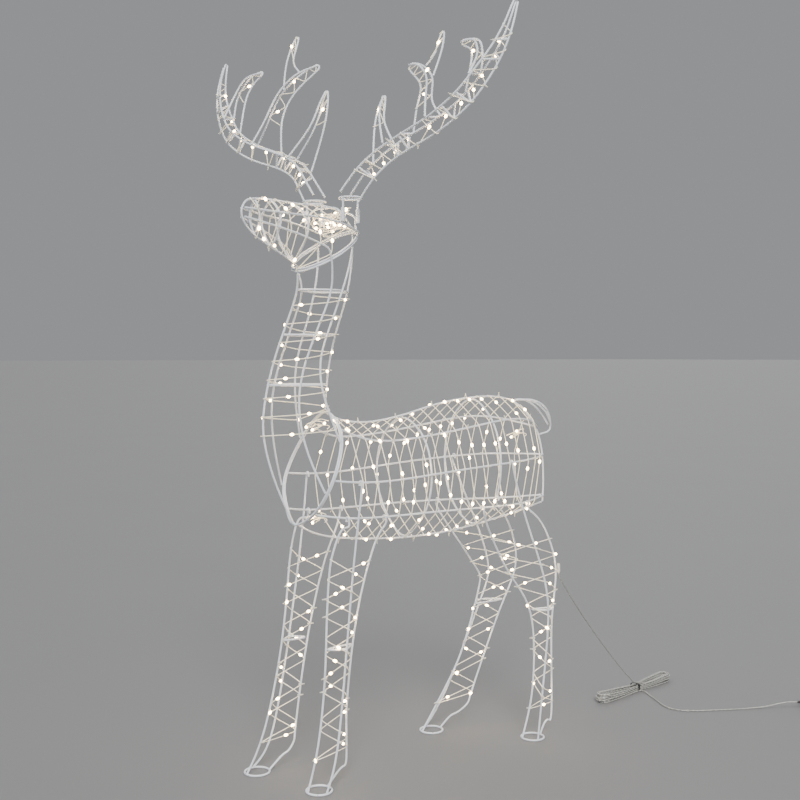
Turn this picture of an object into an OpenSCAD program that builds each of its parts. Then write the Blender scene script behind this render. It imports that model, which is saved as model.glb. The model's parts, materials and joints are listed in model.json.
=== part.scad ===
// Light-up yard reindeer: a welded wire stag with two lift-off antlers and a warm light string.
// Millimetres. The stag faces -Y, its left side is +X, and the ground is z = 0.

/* [Wire frame] */
// Diameter of the coated frame wire
wire_d = 4; // [3.4:0.1:4.4]
// Flats round a frame wire
wire_sides = 6; // [6:1:8]
// How far two welded wires sink into each other
weld = 0.4; // [0.2:0.1:0.6]
// Turn of the head and antlers to the stag's left
head_turn = 18; // [10:1:24]

/* [Feet and antler fittings] */
// Radius of a hoof ring, at the middle of its wire
hoof_r = 24; // [21:1:26]
// Radius of the ring that an antler stands on
antler_ring_r = 22; // [20:0.5:24]
// Outside diameter of an antler socket
socket_d = 8; // [7:0.5:9]
// Bore of an antler socket
socket_bore = 4.8; // [4.6:0.1:5.2]
// Top of the sockets above the ground
socket_top = 1092; // [1088:1:1096]
// Length of an antler socket
socket_len = 26; // [20:1:26]
// Share by which the tines stand lower on the left antler, and higher on the right
tine_difference = 0.13; // [0:0.01:0.2]

/* [Lights] */
// Diameter of the light string
string_d = 1.8; // [1.4:0.1:2.2]
// Distance between two lamps along the string
lamp_gap = 125; // [100:5:200]
// Diameter of a lamp bead
lamp_d = 5.5; // [4:0.5:7]
// Length of a tie's tail
tie_tail = 8; // [5:0.5:10]

/* [Supply lead] */
// Diameter of the two-core lead
lead_d = 3.5; // [3:0.1:4]
// Length of the folded hank
hank_len = 290; // [180:5:320]
// Width of the folded hank
hank_w = 30; // [26:1:34]
// Height of the folded hank
hank_h = 23; // [16:1:26]
// Power adaptor: length, width and height
adaptor_size = [62, 38, 32]; // [24:2:80]

/* [Hidden] */

// The middle of the whole figure, measured from the midpoint between its feet
middle = [-7.2, 26.5];
wire_r = wire_d / 2;
// Offset between two wires that are welded where they cross
step_in = wire_d - weld;
string_out = (wire_d + string_d) / 2 - 0.1;
// Half the length along which the string lies against a rail
string_hold = 2.5;
string_sides = 3;
// The head turns about this upright line
head_pivot = [0, -110];

// ---- Vectors and smooth wires ----

function unit(v) = v / norm(v);
function flip(run) = [for (p = run) [-p.x, p.y, p.z]];
function turn_head(run) = [for (p = run)
    [head_pivot.x + p.x * cos(head_turn) - p.y * sin(head_turn),
     head_pivot.y + p.x * sin(head_turn) + p.y * cos(head_turn), p.z]];
function upto(list, n) = [for (i = [0:n - 1]) list[i]];
function reversed(list) = [for (i = [len(list) - 1:-1:0]) list[i]];

// The bend, in degrees, where the run passes point b
function bend(a, b, c) = acos(min(1, max(-1, unit(b - a) * unit(c - b))));

// Steps on one span: more where the wire bends more
function span_steps(a, b, c, d, fine) =
    max(1, min(8, ceil(max(bend(a, b, c), bend(b, c, d)) / fine)));

// A Catmull-Rom point between b and c
function blend(a, b, c, d, t) =
    b + t / 2 * (c - a) + t * t * (a - 2.5 * b + 2 * c - d / 2)
      + t * t * t / 2 * (3 * b - a - 3 * c + d);

// A smooth run through the points, open or closed
function curve(run, fine = 18, closed = false) =
    let (n = len(run), last = closed ? n - 1 : n - 2)
    concat(
        [for (i = [0:last])
            let (b = run[i], c = run[(i + 1) % n],
                a = closed ? run[(i + n - 1) % n] : i > 0 ? run[i - 1] : 2 * b - c,
                d = closed ? run[(i + 2) % n] : i < n - 2 ? run[i + 2] : 2 * c - b,
                steps = span_steps(a, b, c, d, fine))
            for (k = [0:steps - 1]) blend(a, b, c, d, k / steps)],
        closed ? [] : [run[n - 1]]);

// A wire is [centre line, closed or not]
function wire(run, fine = 18) = [curve(run, fine), false];
function hoop(run, fine = 18) = [curve(run, fine, true), true];
function straight(run) = [run, false];

// Direction of travel at each point of a centre line
function headings(run, closed) = let (n = len(run))
    [for (i = [0:n - 1]) unit(
        (closed || i < n - 1 ? run[(i + 1) % n] : run[i])
        - (closed || i > 0 ? run[(i + n - 1) % n] : run[i]))];

// A side direction carried along the wire without twist
function across(v, t) = unit(v - (v * t) * t);
function carried(ts, u, i = 0) = i >= len(ts) ? [] :
    let (s = across(u, ts[i])) concat([s], carried(ts, s, i + 1));

// The general normal of a closed loop
function sum(list, i = 0) = i >= len(list) - 1 ? list[i] : list[i] + sum(list, i + 1);
function loop_normal(run) = let (n = len(run), m = run[0])
    unit(sum([for (i = [0:n - 1]) cross(run[i] - m, run[(i + 1) % n] - m)]));

function any_side(t) = abs(t.z) < 0.8 ? cross([0, 0, 1], t) : cross([0, 1, 0], t);

// The skin of one wire: a ring of points at each centre
function skin(w, r, k) =
    let (run = w[0], ts = headings(run, w[1]), normal = w[1] ? loop_normal(run) : undef,
        us = w[1] ? [for (t = ts) across(normal, t)] : carried(ts, any_side(ts[0])))
    [for (i = [0:len(run) - 1]) for (a = [0:k - 1])
        run[i] + r * (cos(360 * a / k) * us[i] + sin(360 * a / k) * cross(ts[i], us[i]))];

function wall(w, first, k) =
    let (n = len(w[0]), spans = w[1] ? n : n - 1)
    concat(
        [for (i = [0:spans - 1]) for (a = [0:k - 1])
            let (b = (a + 1) % k, here = first + i * k, next = first + (i + 1) % n * k)
            each [[here + a, here + b, next + b], [here + a, next + b, next + a]]],
        w[1] ? [] : [[for (a = [k - 1:-1:0]) first + a],
            [for (a = [0:k - 1]) first + (n - 1) * k + a]]);

function starts(ws, k, i = 0, at = 0) = i >= len(ws) ? [] :
    concat([at], starts(ws, k, i + 1, at + k * len(ws[i][0])));

// All the wires of one sub-part
module wires(ws, d = wire_d, k = wire_sides) {
    firsts = starts(ws, k);
    polyhedron(
        points = [for (w = ws) each skin(w, d / 2, k)],
        faces = [for (i = [0:len(ws) - 1]) for (f = wall(ws[i], firsts[i], k)) reversed(f)],
        convexity = 10);
}

module placed() {
    translate([-middle.x, -middle.y, 0]) children();
}

// ---- Rails as tables, so that hoops and strings can find them at any station ----

// [station, point] for each step of a run; axis 1 is y and axis 2 is z
function rail(run, axis) = [for (c = [0:2]) [for (p = curve(run, 4)) [p[axis], p[c]]]];
function steps_rail(run) = let (s = curve(run, 4))
    [for (c = [0:2]) [for (i = [0:len(s) - 1]) [i / (len(s) - 1), s[i][c]]]];
function at(r, station) = [for (c = [0:2]) lookup(station, r[c])];
function centre_at(rails, station) = sum([for (r = rails) at(r, station)]) / len(rails);

// A point of a rail moved by d away from the middle of all the rails
function beside(rails, i, station, d) =
    let (p = at(rails[i], station)) p + d * unit(p - centre_at(rails, station));

// A hoop through all the rails at one station, inside them
function hoop_at(rails, station) =
    hoop([for (i = [0:len(rails) - 1]) beside(rails, i, station, -step_in)]);

// Two points where a run touches each rail, so that it bends round the rail and not at one point
function snug(run) = let (last = len(run) - 1) concat([run[0]],
    [for (i = [1:last - 1]) let (t = unit(run[i + 1] - run[i - 1]))
        each [run[i] - string_hold * t, run[i] + string_hold * t]],
    [run[last]]);

// A string that winds round the rails, touching one after another
function touches(rails, from, to, count) =
    [for (k = [0:count]) beside(rails, k % len(rails), from + (to - from) * k / count, string_out)];
function winding(rails, from, to, count) = snug(touches(rails, from, to, count));

// The distance along a run up to each of its points
function travelled(run, i = 1, sofar = 0) = i > len(run) - 1 ? [sofar] :
    concat([sofar], travelled(run, i + 1, sofar + norm(run[i] - run[i - 1])));
function lamp_places(run) = let (s = travelled(run), total = s[len(s) - 1])
    [for (d = [lamp_gap / 2:lamp_gap:total])
        [for (c = [0:2]) lookup(d, [for (i = [0:len(run) - 1]) [s[i], run[i][c]]])]];

// ---- Body ----

spine = [[0, -150, 698.4], [0, -112, 682], [0, -40, 678], [0, 30, 689], [0, 88, 705], [0, 152, 717],
    [0, 219, 724], [0, 272, 723], [0, 326, 711]];
rump = [[0, 365, 680], [0, 395, 641], [0, 409, 585]];
rump_end = [[0, 412, 530], [0, 408, 486]];
belly = [[0, -216.5, 488], [0, -185, 468], [0, -130, 453], [0, -20, 442], [0, 55, 439], [0, 150, 442],
    [0, 235, 453], [0, 340, 470], [0, 404.4, 485]];
upper_rail = [[54, -152, 670], [66, -110, 650], [73, -62, 643], [75, 25, 649], [75, 120, 661],
    [74, 215, 675], [64, 290, 677], [40, 345, 668], [4, 388, 654]];
mid_rail = [[89, -186, 577], [100, -137, 571], [102, -62, 570], [102, 30, 577], [102, 125, 584],
    [98, 235, 589], [72, 325, 592], [4, 406, 591]];
lower_rail = [[54, -205.6, 511], [74, -150, 501], [80, -70, 499], [80, 45, 500], [80, 115, 499],
    [74, 225, 497], [50, 320, 494], [4, 407, 500]];
chest = [[0, -151, 702], [50, -154, 678], [76, -162, 645], [90, -182, 596], [84, -199, 552],
    [52, -209, 512], [0, -220, 487]];
side_rails = [upper_rail, mid_rail, lower_rail];
right_rails = [for (r = side_rails) flip(r)];
body_rails = [for (r = concat([concat(spine, rump)], side_rails, [belly], reversed(right_rails)))
    rail(r, 1)];

// The far side of a loop that is its own mirror image
function both_halves(half) = let (other = flip(half))
    concat(half, [for (i = [len(half) - 2:-1:1]) other[i]]);
function moved(run, d) = [for (p = run) p + d];

module spine_rail() {
    color("white") wires([wire(concat(spine, rump, rump_end))]);
}

module side_rails_of(left) {
    color("white") wires([for (r = side_rails) wire(left ? r : flip(r))]);
}

module belly_rail() {
    color("white") wires([wire(belly)]);
}

module barrel_rib() {
    color("white") wires([hoop_at(body_rails, 30)]);
}

module rump_hoop() {
    color("white") wires([hoop_at(body_rails, 208)]);
}

// The neck and the body each end in a ring, and the two rings stand face to face
module chest_ring() {
    color("white") wires([hoop(both_halves(chest))]);
}

module neck_base_ring() {
    color("white") wires([hoop(moved(both_halves(chest), [0, -step_in, 0]))]);
}

tail_back = [[0, 330, 713.5], [0, 376, 711], [0, 410, 693], [0, 431, 664], [0, 428, 643],
    [0, 401, 636]];
tail_side = [[0, 331, 714], [11, 365, 714], [13, 398, 700], [7, 420, 676], [0, 429, 656]];

module tail_loop() {
    color("white") wires([
        wire(tail_back),
        wire(moved(tail_side, [wire_d + 0.1, 0, 0]), 20),
        wire(moved(flip(tail_side), [-wire_d - 0.1, 0, 0]), 20)]);
}

// ---- Neck ----

throat = [[0, -225.5, 490], [0, -262, 560], [0, -287, 635], [0, -294, 692], [4, -277, 784],
    [14, -253, 859], [30, -236, 925], [41, -239, 963.8]];
nape = [[0, -155, 705.7], [0, -150, 783], [0, -134, 851], [-3, -104, 920], [-6, -88, 1000],
    [-7, -88, 1049.6]];
// The neck twists with the head, so its two sides differ above the shoulders
neck_front_left = [[84, -205, 555], [64, -233, 627], [54, -246, 700], [50, -240, 765],
    [50, -216, 830], [53, -190, 890], [60, -176, 940]];
neck_front_right = [[-84, -205, 555], [-64, -233, 627], [-54, -246, 700], [-47, -242, 765],
    [-38, -222, 830], [-26, -206, 890], [-12, -199, 940]];
neck_back_left = [[76, -168, 648], [62, -186, 710], [50, -196, 770], [44, -186, 830],
    [43, -160, 890], [46, -138, 950], [50, -126, 1000], [51, -125, 1022.5]];
neck_back_right = [[-76, -168, 648], [-62, -186, 710], [-50, -196, 770], [-43, -188, 830],
    [-38, -168, 890], [-33, -156, 950], [-31, -152, 1000], [-32, -152, 1022.5]];
neck_rails = [for (r = [throat, neck_front_left, neck_back_left, nape, neck_back_right,
    neck_front_right]) rail(r, 2)];

// ---- Head, drawn facing straight ahead and then turned ----

brow = [[0, -283, 1064], [0, -274, 1083], [0, -255, 1091], [0, -213, 1095], [0, -135, 1093],
    [0, -90, 1098], [0, -42, 1098], [0, -6, 1087], [0, 22, 1062]];
chin = [[0, -274, 1044], [0, -252, 1026], [0, -213, 1009], [0, -160, 990], [0, -137, 975.5]];
cheek_top = [[4, -279, 1072], [13, -255, 1071], [24, -213, 1069], [36, -160, 1068], [45, -117, 1068],
    [49, -75, 1062], [50, -45, 1057], [46, -16, 1050], [39, -5, 1046]];
cheek_low = [[4, -279, 1056], [13, -255, 1051], [24, -213, 1043], [36, -160, 1031],
    [45, -122, 1018], [50, -100, 1003]];
head_rails = [for (r = [brow, cheek_top, cheek_low, chin, flip(cheek_low), flip(cheek_top)])
    rail(r, 1)];
throat_ring = [[0, -136, 972], [34, -116, 983], [51, -66, 1010], [36, -6, 1043], [0, 22, 1058]];

function turned(w) = [turn_head(w[0]), w[1]];

module throat_and_nape_rails() {
    color("white") wires([wire(throat), wire(nape)]);
}

module neck_rails_of(left) {
    low = turn_head(reversed(left ? cheek_low : flip(cheek_low)));
    front = left ? neck_front_left : neck_front_right;
    color("white") wires([wire(concat(front, low)), wire(left ? neck_back_left : neck_back_right)]);
}

module neck_hoops() {
    color("white") wires([for (z = [755, 850, 935]) hoop_at(neck_rails, z)]);
}

module neck_top_ring() {
    color("white") wires([turned(hoop(moved(both_halves(throat_ring), [0, 0, -step_in - 1])))]);
}

module skull_ring() {
    color("white") wires([turned(hoop(both_halves(throat_ring)))]);
}

module head_profile() {
    color("white") wires([turned(wire(concat(reversed(chin), brow)))]);
}

module cheek_rail(left) {
    color("white") wires([turned(wire(left ? cheek_top : flip(cheek_top)))]);
}

module muzzle_hoops() {
    color("white") wires([for (y = [-250, -208, -150]) turned(hoop_at(head_rails, y))]);
}

// ---- Antler sockets on two arches over the crown ----

// Sockets and pegs stand at the front and the back of each antler's ring
antler_foot = [46, -38];
antler_ring_z = 1112;
peg_ys = [antler_foot.y - antler_ring_r, antler_foot.y + antler_ring_r];
socket_bottom = socket_top - socket_len;
arch_x = antler_foot.x - socket_d / 2 - wire_r + weld / 2;

function arch_half(y, foot, top) = [[foot[0], y, foot[1]], [arch_x + 1, y, foot[1] + 7],
    [arch_x, y, foot[1] + 15], [arch_x, y, foot[1] + 24], [arch_x - 8, y, top - 5],
    [arch_x / 2, y, top - 1], [0, y, top]];

module crown_arches() {
    halves = [arch_half(peg_ys[0], [46.4, 1058], 1094.6), arch_half(peg_ys[1], [42.4, 1050], 1087.4)];
    color("white") wires([for (h = halves) turned(wire(concat(h, reversed(flip(upto(h, 6))))))]);
}

module head_place() {
    translate([head_pivot.x, head_pivot.y, 0]) rotate([0, 0, head_turn]) children();
}

module sockets(side) {
    color("gainsboro") head_place()
        for (y = peg_ys) translate([side * antler_foot.x, y, socket_bottom])
            difference() {
                cylinder(h = socket_len, d = socket_d, $fn = 48);
                translate([0, 0, -1]) cylinder(h = socket_len + 2, d = socket_bore, $fn = 48);
            }
}

// ---- Legs: three long wires each, gathered by a knee band and a hoof ring ----

// The end of a wire bent over a rail that runs along y at point p
function hooked(p) = let (r = wire_d + 0.2)
    [p + [r, 0, -14], p + [r, 0, 0], p + [0.7 * r, 0, 0.7 * r], p + [0, 0, r],
     p + [-0.7 * r, 0, 0.7 * r], p + [-r, 0, 0], p + [-r, 0, -5]];

// Each wire is listed from the hoof up, and hook points give the rail that it hangs on
hoof_z = wire_r - 0.3;
hoof_centres = [[72, -211], [-78, -262], [78, 310], [-80, 160]];

left_front = [
    [[72, -235, 3.6], [75, -213, 80], [75, -199, 206], [75, -197, 317], [76, -192, 411], [80, -170, 480]],
    [[95, -208, 3.6], [94, -183, 60], [95, -166, 252], [101, -152, 440]],
    [[66, -188, 3.6], [65, -165, 27], [65, -154, 33], [65, -146, 46], [65, -147, 160], [65, -126, 326],
     [70, -88, 450]]];
right_front = [
    [[-74, -286, 3.6], [-70, -250, 66], [-70, -208, 249], [-74, -194, 400], [-80, -172, 480]],
    [[-101, -258, 3.6], [-96, -222, 52], [-96, -186, 223], [-101, -150, 440]],
    [[-70, -239, 3.6], [-70, -212, 26], [-70, -198, 31], [-70, -184, 50], [-70, -181, 85],
     [-68, -157, 255], [-68, -118, 400], [-70, -92, 450]]];
left_rear = [
    [[72, 287, 3.6], [70, 320, 86], [70, 322, 190], [70, 306, 284], [70, 242, 364], [72, 200, 440]],
    [[101, 305, 3.6], [98, 328, 158], [99, 336, 311], [101, 270, 470]],
    [[77, 333, 3.6], [80, 342, 26], [80, 352, 32], [80, 364, 44], [80, 361, 243], [80, 378, 355],
     [66, 350, 450]]];
right_rear = [
    [[-80, 136, 3.6], [-70, 190, 90], [-70, 230, 148], [-70, 285, 300], [-70, 276, 340],
     [-72, 200, 440]],
    [[-103, 162, 3.6], [-99, 212, 60], [-100, 310, 259], [-100, 338, 338], [-102, 285, 470]],
    [[-78, 183, 3.6], [-72, 205, 26], [-70, 222, 30], [-70, 252, 45], [-70, 264, 75], [-70, 338, 234],
     [-70, 396, 340], [-64, 362, 440]]];
leg_hooks = [
    [[74, -150, 501], [100, -137, 571], [80, -70, 499]],
    [[-74, -150, 501], [-100, -137, 571], [-80, -70, 499]],
    [[78, 175, 498], [98, 235, 589], [50, 320, 494]],
    [[-78, 175, 498], [-98, 235, 589], [-50, 320, 494]]];
legs = [left_front, right_front, left_rear, right_rear];

function with_hook(run, p) = let (s = sign(p.x))
    concat(run, [for (q = hooked([s * p.x, p.y, p.z])) [s * q.x, q.y, q.z]]);
function leg_wires(i) = [for (j = [0:2]) with_hook(legs[i][j], leg_hooks[i][j])];

module leg(i) {
    color("white") wires([for (w = leg_wires(i)) wire(w, 24)]);
}

knee_z = [262, 250, 270, 262];

module knee_bands() {
    color("white") wires([for (i = [0:3])
        hoop_at([for (r = legs[i]) rail(r, 2)], knee_z[i])]);
}

module hoof_rings() {
    color("white") for (c = hoof_centres) translate([c.x, c.y, 0]) difference() {
        translate([0, 0, hoof_z]) rotate_extrude($fn = 64)
            translate([hoof_r, 0]) circle(r = wire_r, $fn = 24);
        translate([0, 0, -5]) cube([100, 100, 10], center = true);
    }
}

// ---- Antlers, drawn for the left side of a head that faces ahead ----

beam = [[46, -38, 1113.5], [74, -34, 1150], [112, -20, 1187], [168, -17, 1213], [224, -20, 1231],
    [292, -20, 1269], [328, -10, 1312], [345, -2, 1338], [357, 6, 1364], [367, 16, 1397], [371, 33, 1442]];
// Half the depth of the beam at each of those points
beam_half = [22, 20, 18, 17, 18, 18, 17, 15, 12, 9, 4.5];

function beam_rail(up, side) = let (ts = headings(beam, false))
    [for (i = [0:len(beam) - 1])
        let (b = across([0, 1, 0], ts[i]), n = cross(ts[i], b))
        beam[i] + beam_half[i] * (up * n + side * b)];
beam_front = beam_rail(0.7, -0.75);
beam_back = beam_rail(0.7, 0.75);
beam_low = beam_rail(-1, 0);
beam_rails = [for (r = [beam_front, beam_low, beam_back]) steps_rail(r)];

// The centre of each tine from its lowest bend to its tip, and half its width at each of those points
brow_tine = [[[76, 12, 1260], [73, 22, 1298], [74, 30, 1327]], [13, 9, 4]];
trunk_tine = [[[192, 0, 1284], [184, 22, 1334], [154, 40, 1368], [124, 54, 1388]], [18, 15, 13, 8]];
end_tine = [[[302, 12, 1350], [287, 30, 1389], [262, 32, 1399]], [13, 11, 6]];
top_branch = [[[192, 46, 1404], [190, 58, 1434], [188, 66, 1453]], [9, 7, 4]];
// Where their feet stand along the beam: the inner foot, then the outer one
tine_feet = [[0.16, 0.28], [0.37, 0.46], [0.58, 0.7]];

// Hand-welded tines: they stand taller on one antler than on the other
function stood(spine, foot_z, side) =
    [for (p = spine) [p.x, p.y, foot_z + (p.z - foot_z) * (1 - side * tine_difference)]];

// A tine is one wire, up from a foot, over the tip and down to the other foot
function tine_loop(feet, spine, half) =
    let (ts = headings(concat([(feet[0] + feet[1]) / 2], spine), false),
        es = [for (t = ts) across(feet[1] - feet[0], t)], n = len(spine) - 1)
    concat([feet[0]], [for (i = [0:n]) spine[i] - half[i] * es[i + 1]],
        [spine[n] + half[n] * ts[n + 1]],
        [for (i = [n:-1:0]) spine[i] + half[i] * es[i + 1]], [feet[1]]);

// Its prop runs up in front of the outer leg and ends in front of the tip
prop_depth = 13;
function tine_prop(foot, loop) =
    let (n = (len(loop) - 3) / 2, tip = loop[n + 1], e = unit(loop[n + 2] - loop[n]))
    concat([foot], [for (i = [1:n]) let (q = loop[len(loop) - 1 - i], t = unit(loop[n + 1] - loop[i]))
        i < n ? q + prop_depth * across([0, -1, 0], t) - 3 * e
              : tip + step_in * across([0, -1, 0], t) - t]);

// Height at which the top branch grows from its tine
branch_z = 1245;

function tines(side) =
    let (kinds = [brow_tine, trunk_tine, end_tine],
        loops = [for (k = [0:2]) let (f = tine_feet[k], z = beside(beam_rails, 2, f[1], step_in).z)
            tine_loop([for (s = f) beside(beam_rails, 2, s, step_in)], stood(kinds[k][0], z, side),
                kinds[k][1])],
        trunk = steps_rail(loops[1]), spine = stood(top_branch[0], branch_z, side),
        branch_feet = [for (s = [0.7, 0.79]) let (p = at(trunk, s)) p + step_in * unit(spine[0] - p)])
    concat(loops, [tine_loop([branch_feet[0], branch_feet[1]], spine, top_branch[1])]);
function props(loops) = [for (k = [0:2])
    tine_prop(beside(beam_rails, 0, tine_feet[k][1], step_in), loops[k])];

function between(a, b) = let (u = unit(b - a), e = wire_r - weld / 2)
    straight([a + e * u, b - e * u]);
rung_stations = [0.12, 0.3, 0.36, 0.53, 0.6, 0.78, 0.86];
function rungs_at(s) = let (p = [for (r = beam_rails) at(r, s)])
    [between(p[0], p[1]), between(p[1], p[2])];
function cross_rung(s) = let (p = [for (r = beam_rails) at(r, s)]) between(p[0], p[2]);

module antler_side(side) {
    head_place() mirror([side < 0 ? 1 : 0, 0, 0]) children();
}

module antler_beam(side) {
    color("white") antler_side(side)
        wires([wire(concat(beam_front, [[370, 37, 1447]], reversed(beam_back)), 18), wire(beam_low)]);
}

module antler_tines(side) {
    loops = tines(side);
    color("white") antler_side(side) wires([for (t = concat(loops, props(loops))) wire(t, 24)]);
}

module antler_rungs(side) {
    color("white") antler_side(side) wires(concat(
        [for (s = rung_stations) each rungs_at(s)],
        [for (f = tine_feet) for (s = f) cross_rung(s)]));
}

module antler_ring(side) {
    color("white") antler_side(side) translate([antler_foot.x, antler_foot.y, antler_ring_z])
        rotate_extrude($fn = 64) translate([antler_ring_r, 0]) circle(r = wire_r, $fn = 24);
}

module antler_pegs(side) {
    color("lightsteelblue") antler_side(side)
        for (y = peg_ys) translate([antler_foot.x, y, socket_bottom + 2])
            cylinder(h = antler_ring_z - wire_r + weld - socket_bottom - 2, d = wire_d, $fn = 32);
}

// ---- Light strings ----

body_run = winding(body_rails, -140, 372, 136);
neck_touches = 46;
neck_run = winding(neck_rails, 660, 928, neck_touches);
head_run = turn_head(winding(head_rails, -262, -72, 36));
leg_top = 430;
leg_low = 60;
leg_touches = 15;
// On a leg the string winds down one way and back up the other, so its turns cross
leg_runs = [for (leg = legs) let (r = [for (w = leg) rail(w, 2)])
    snug(concat(touches(r, leg_top, leg_low, leg_touches),
        touches([r[2], r[1], r[0]], leg_low + 8, leg_top - 14, leg_touches)))];
beam_run = winding(beam_rails, 0.1, 0.93, 36);
function tine_run(t, n) = let (r = steps_rail(t), last = len(t) - 1,
        side = unit(cross(t[last] - t[0], t[last / 2] - t[0])))
    snug([for (k = [0:n]) let (s = 0.08 + 0.34 * k / n) at(r, k % 2 == 0 ? s : 1 - s) + string_out * side]);
tine_turns = [6, 9, 5, 4];
function antler_runs(side) = let (t = tines(side))
    concat([beam_run], [for (k = [0:3]) tine_run(t[k], tine_turns[k])]);

// Loops of spare string, gathered round a centre where two sections meet
function bundle(c, r, turns) = [for (i = [0:turns * 10])
    let (a = 36 * i, k = i / 10, swell = 1 + 0.3 * sin(2.3 * a))
    c + [r * swell * cos(a), 0.8 * r * cos(a / turns) + 0.5 * r * swell * sin(a),
        (k - turns / 2) * 3.4 + 0.35 * r * sin(a + 40 * k)]];
bundles = [turn_head(bundle([0, -46, 1068], 28, 11)), bundle([0, -176, 676], 18, 4),
    bundle([20, -190, 500], 16, 4), bundle([0, 330, 640], 16, 3)];

frame_runs = concat([body_run, neck_run, head_run], leg_runs, bundles);

module string_runs(runs) {
    color("whitesmoke") wires([for (r = runs) straight(r)], string_d, string_sides);
}

module slack_bundles() {
    color("whitesmoke") wires([for (b = bundles) straight(b)], string_d, string_sides);
}

module lamps(runs) {
    color("moccasin") for (r = runs) for (p = lamp_places(r)) translate(p) sphere(d = lamp_d, $fn = 16);
}

// A tie closes round the rail and the string, and its tail points outwards
module ties(rails, from, to, count, every) {
    color("ivory") for (k = [1:every:count]) {
        station = from + (to - from) * k / count;
        p = at(rails[k % len(rails)], station);
        u = unit(p - centre_at(rails, station));
        translate(p + (wire_r - 0.5) * u) rotate([0, acos(u.z), atan2(u.y, u.x)])
            translate([-1.3, -1.3, 0]) cube([2.6, 2.6, tie_tail]);
    }
}

module frame_ties() {
    ties(body_rails, -140, 372, 136, 3);
    ties(neck_rails, 660, 928, neck_touches, 4);
    head_place() ties(head_rails, -262, -72, 36, 4);
    for (leg = legs) {
        r = [for (w = leg) rail(w, 2)];
        ties(r, leg_top, leg_low, leg_touches, 2);
        ties([r[2], r[1], r[0]], leg_low + 8, leg_top - 14, leg_touches, 2);
    }
}

module antler_ties(side) {
    antler_side(side) ties(beam_rails, 0.1, 0.93, 36, 4);
}

// ---- Supply lead ----

// The lead drops from the left rear hock to the hank, and its tail runs on to the adaptor
lead_route = [[85.5, 378, 343], [85.5, 380, 334], [80, 398, 314], [62, 456, 254], [38, 532, 182],
    [16, 604, 118], [0, 660, 70], [-9, 696, 41], [-14, 712, 29], [-17, 722, 25]];
tail_route = [[-18, 736, 9], [-4, 740, 4], [20, 731, 2], [48, 719, 2], [76, 706, 2], [104, 696, 2],
    [132, 700, 2], [158, 726, 2], [184, 772, 2], [214, 832, 2], [240, 876, 6], [258, 904, 13],
    [270, 922, 16], [282, 938, 16]];
hank_place = [-28, 730];
hank_turn = 8;
hank_tie_y = 4;

module supply_lead() {
    color("silver") wires([wire(lead_route, 12)], lead_d, 8);
}

module lead_tail() {
    color("silver") wires([wire(tail_route, 12)], lead_d, 8);
}

module lead_sleeve() {
    color("gainsboro") translate([85.5, 378, 342]) cylinder(h = 22, d = 7, $fn = 32);
}

module lead_hank() {
    r = hank_w / 2;
    color("dimgray") translate(hank_place) rotate([0, 0, hank_turn]) linear_extrude(hank_h) {
        for (s = [-1, 1]) translate([0, s * (hank_len / 2 - r)]) circle(r, $fn = 48);
        square([hank_w, hank_len - hank_w], center = true);
    }
}

module hank_tie() {
    color("black") translate(hank_place) rotate([0, 0, hank_turn]) translate([0, hank_tie_y, 0])
        difference() {
            translate([-hank_w / 2 - 1.5, -3, 0]) cube([hank_w + 3, 6, hank_h + 1.5]);
            translate([-hank_w / 2, -4, -1]) cube([hank_w, 8, hank_h + 1]);
        }
}

module adaptor_place() {
    translate([282, 938, 0]) rotate([0, 0, -37]) children();
}

module adaptor_case() {
    s = adaptor_size;
    r = 5;
    color("black") adaptor_place() translate([0, 18 + s.x / 2, 0]) linear_extrude(s.z) {
        square([s.y - 2 * r, s.x], center = true);
        square([s.y, s.x - 2 * r], center = true);
        for (x = [-1, 1]) for (y = [-1, 1])
            translate([x * (s.y / 2 - r), y * (s.x / 2 - r)]) circle(r, $fn = 32);
    }
}

module adaptor_sleeve() {
    color("black") adaptor_place() translate([0, 18, 16]) rotate([90, 0, 0])
        cylinder(h = 20, d1 = 9, d2 = 5, $fn = 32);
}

module adaptor_pins() {
    s = adaptor_size;
    color("silver") adaptor_place() for (x = [-9.5, 9.5])
        translate([x, 18 + s.x, s.z / 2]) rotate([-90, 0, 0]) cylinder(h = 19, d = 4, $fn = 32);
}

placed() spine_rail();
placed() side_rails_of(true);  // left_side_rails
placed() side_rails_of(false);  // right_side_rails
placed() belly_rail();
placed() barrel_rib();
placed() rump_hoop();
placed() chest_ring();
placed() tail_loop();
placed() neck_base_ring();
placed() throat_and_nape_rails();
placed() neck_rails_of(true);  // left_neck_rails
placed() neck_rails_of(false);  // right_neck_rails
placed() neck_hoops();
placed() neck_top_ring();
placed() skull_ring();
placed() head_profile();
placed() cheek_rail(true);  // left_cheek_rail
placed() cheek_rail(false);  // right_cheek_rail
placed() muzzle_hoops();
placed() crown_arches();
placed() sockets(1);  // left_sockets
placed() sockets(-1);  // right_sockets
placed() leg(0);  // left_front_leg
placed() leg(1);  // right_front_leg
placed() leg(2);  // left_rear_leg
placed() leg(3);  // right_rear_leg
placed() knee_bands();
placed() hoof_rings();
placed() antler_beam(1);  // left_antler_beam
placed() antler_tines(1);  // left_antler_tines
placed() antler_rungs(1);  // left_antler_rungs
placed() antler_ring(1);  // left_antler_ring
placed() antler_pegs(1);  // left_antler_pegs
placed() antler_beam(-1);  // right_antler_beam
placed() antler_tines(-1);  // right_antler_tines
placed() antler_rungs(-1);  // right_antler_rungs
placed() antler_ring(-1);  // right_antler_ring
placed() antler_pegs(-1);  // right_antler_pegs
placed() string_runs([body_run]);  // body_light_string
placed() string_runs([neck_run]);  // neck_light_string
placed() string_runs([head_run]);  // head_light_string
placed() string_runs(leg_runs);  // leg_light_strings
placed() antler_side(1) string_runs(antler_runs(1));  // left_antler_string
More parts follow.
